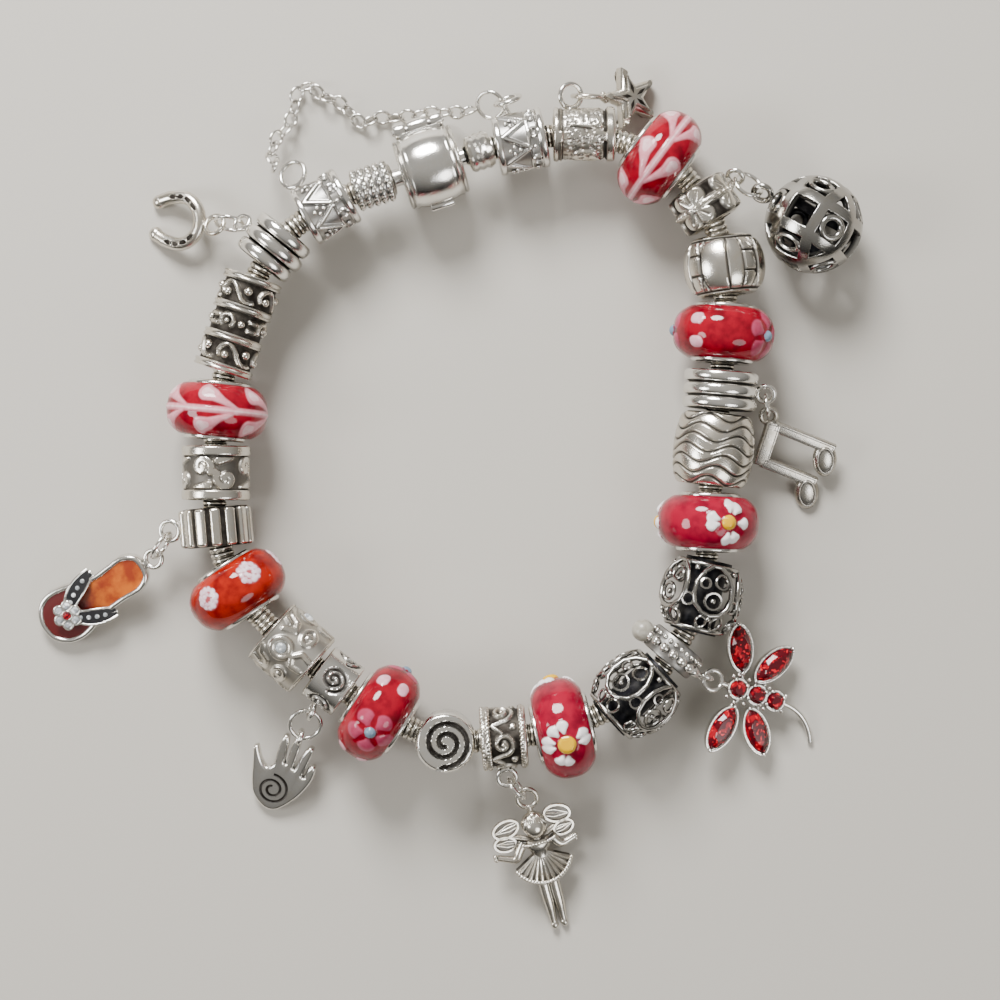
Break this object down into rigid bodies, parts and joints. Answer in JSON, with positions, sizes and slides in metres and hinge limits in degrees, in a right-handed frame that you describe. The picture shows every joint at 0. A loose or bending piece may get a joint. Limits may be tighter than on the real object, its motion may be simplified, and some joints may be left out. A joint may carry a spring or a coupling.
{
  "type": "charm bracelet",
  "caption": "Charm bracelet: snake chain with barrel clasp and safety chain, strung with red lampwork glass beads and antique silver beads, with silver charms on jump rings.",
  "frame": {"origin": "on the surface the bracelet lies on, under the middle of the whole bracelet", "axes": "+Z up from the surface; +Y towards the clasp side; +X to the right as seen from above with +Y up"},
  "size_m": [0.104, 0.1098, 0.013],
  "materials": {
    "silver": "polished silver",
    "antique_silver": "antiqued silver, blackened in the recesses",
    "dark_silver": "gunmetal-dark silver filigree",
    "red_glass": "glossy lampwork glass",
    "amber_glass": "glossy crackled glass"
  },
  "bodies": {
    "bracelet": {"star_charm": "antique_silver", "pendant_ring": "silver", "openwork_pendant": "silver", "note_ring": "silver", "music_note": "silver", "dragonfly": "silver", "fairy_ring": "silver", "fairy": "silver", "hand_ring": "silver", "hand_charm": "antique_silver", "sandal_ring": "silver", "sandal": "silver", "horseshoe_ring": "silver", "horseshoe": "antique_silver", "safety_ring": "silver", "safety_chain": "silver", "snake_chain": "antique_silver", "clasp_base": "silver", "end_cap_left": "silver", "glass_bead_1": "red_glass", "glass_core_1": "silver", "glass_bead_2": "red_glass", "glass_core_2": "silver", "glass_bead_3": "red_glass", "glass_core_3": "silver", "glass_bead_4": "red_glass", "glass_core_4": "silver", "glass_bead_5": "red_glass", "glass_core_5": "silver", "glass_bead_6": "amber_glass", "glass_core_6": "silver", "glass_bead_7": "red_glass", "glass_core_7": "silver", "safety_bead_right": "silver", "safety_bead_left": "silver", "star_bead": "antique_silver", "bow_bead": "antique_silver", "ball_bead": "silver", "ring_bail": "silver", "wavy_bead": "antique_silver", "openwork_bead_1": "dark_silver", "pearl_bail": "silver", "openwork_bead_2": "dark_silver", "scroll_bail": "antique_silver", "spiral_disc": "silver", "spiral_bail": "silver", "relief_bead": "antique_silver", "rib_bead": "silver", "scroll_bead": "antique_silver", "filigree_tube": "antique_silver", "three_ring_bail": "silver"},
    "clasp_lid": {"clasp_lid": "silver"}
  },
  "joints": [
    {"name": "clasp_hinge", "type": "hinge", "parent": "bracelet", "child": "clasp_lid", "pos_m": [-0.00371, 0.04679, 0.00652], "axis": [-0.9521, -0.3057, 0], "range_deg": [0, 75]}
  ]
}
